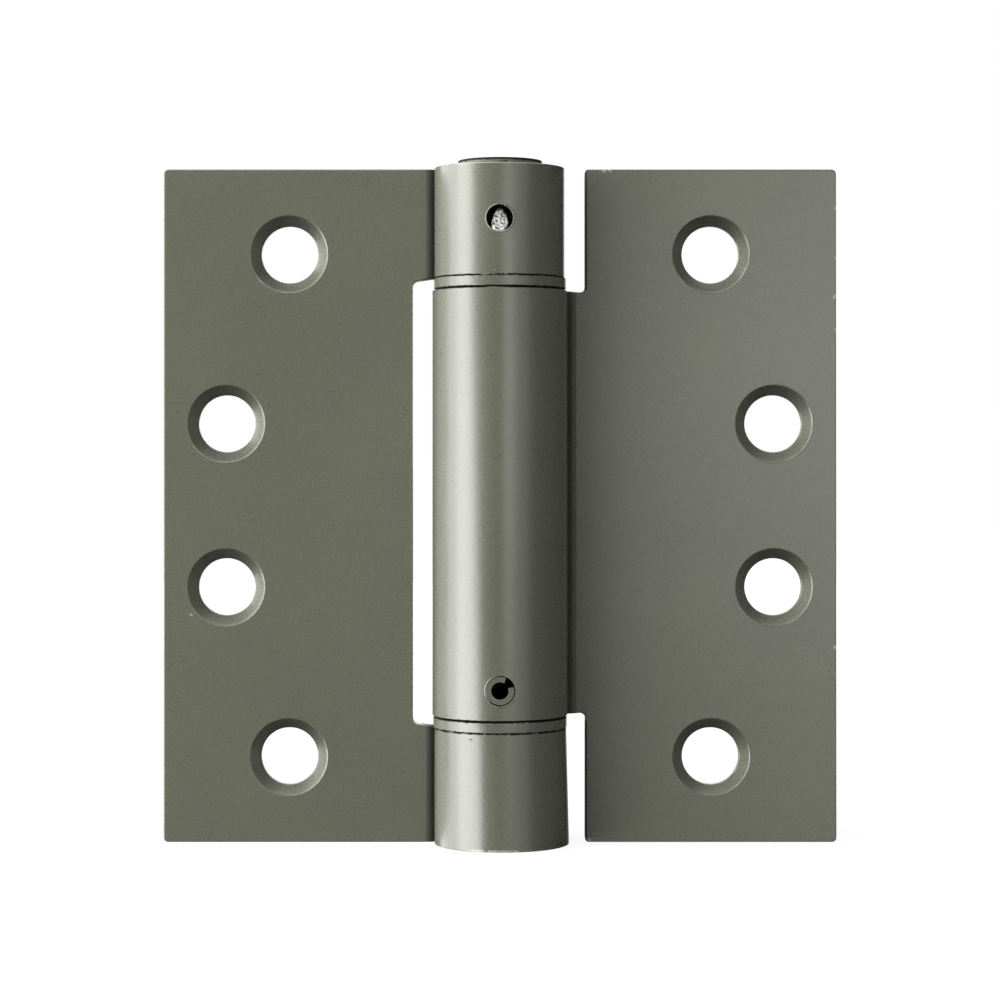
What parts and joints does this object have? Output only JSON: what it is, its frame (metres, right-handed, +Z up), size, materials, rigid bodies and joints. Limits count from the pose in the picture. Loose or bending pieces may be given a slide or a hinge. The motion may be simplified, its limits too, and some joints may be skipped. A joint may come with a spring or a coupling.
{
  "type": "spring hinge",
  "caption": "Full-mortise butt hinge with square-cornered leaves, a rolled knuckle barrel and a torsion spring inside it that swings a door shut.",
  "frame": {"origin": "on the barrel's axis, at the lower end of the barrel, which is the part's lowest plane", "axes": "+Z up the barrel towards the tension cap, +X towards the door leaf opened out flat, -Y out of the countersunk faces"},
  "size_m": [0.1142, 0.0228, 0.1154],
  "materials": {
    "prime_coat": "satin grey-olive prime coat on cold-rolled steel, finely gritted",
    "prime_coat_washer": "the same prime coat, thin and broken along the joints",
    "bare_steel": "turned bare steel, lightly oiled",
    "spring_steel": "oil-tempered flat spring wire",
    "bush_plastic": "dark moulded bearing plastic"
  },
  "bodies": {
    "frame_leaf": {"frame_leaf": "prime_coat", "lower_thrust_washer": "prime_coat_washer", "upper_thrust_washer": "prime_coat_washer", "lower_bush": "bush_plastic", "bottom_plug": "bare_steel"},
    "door_leaf": {"door_leaf": "prime_coat", "spring_anchor": "bare_steel", "roll_pin": "prime_coat", "upper_bush": "bush_plastic", "torsion_spring": "spring_steel"},
    "tension_cap": {"tension_cap": "bare_steel"}
  },
  "joints": [
    {"name": "leaf_swing", "type": "hinge", "parent": "frame_leaf", "child": "door_leaf", "pos_m": [0, 0, 0.05715], "axis": [0, 0, -1], "range_deg": [0, 180]},
    {"name": "tension_cap_turn", "type": "hinge", "parent": "door_leaf", "child": "tension_cap", "pos_m": [0, 0, 0.10505], "axis": [0, 0, -1], "range_deg": [0, 180], "stiffness_Nm_per_rad": 1.09, "deforming": ["torsion_spring"]}
  ]
}
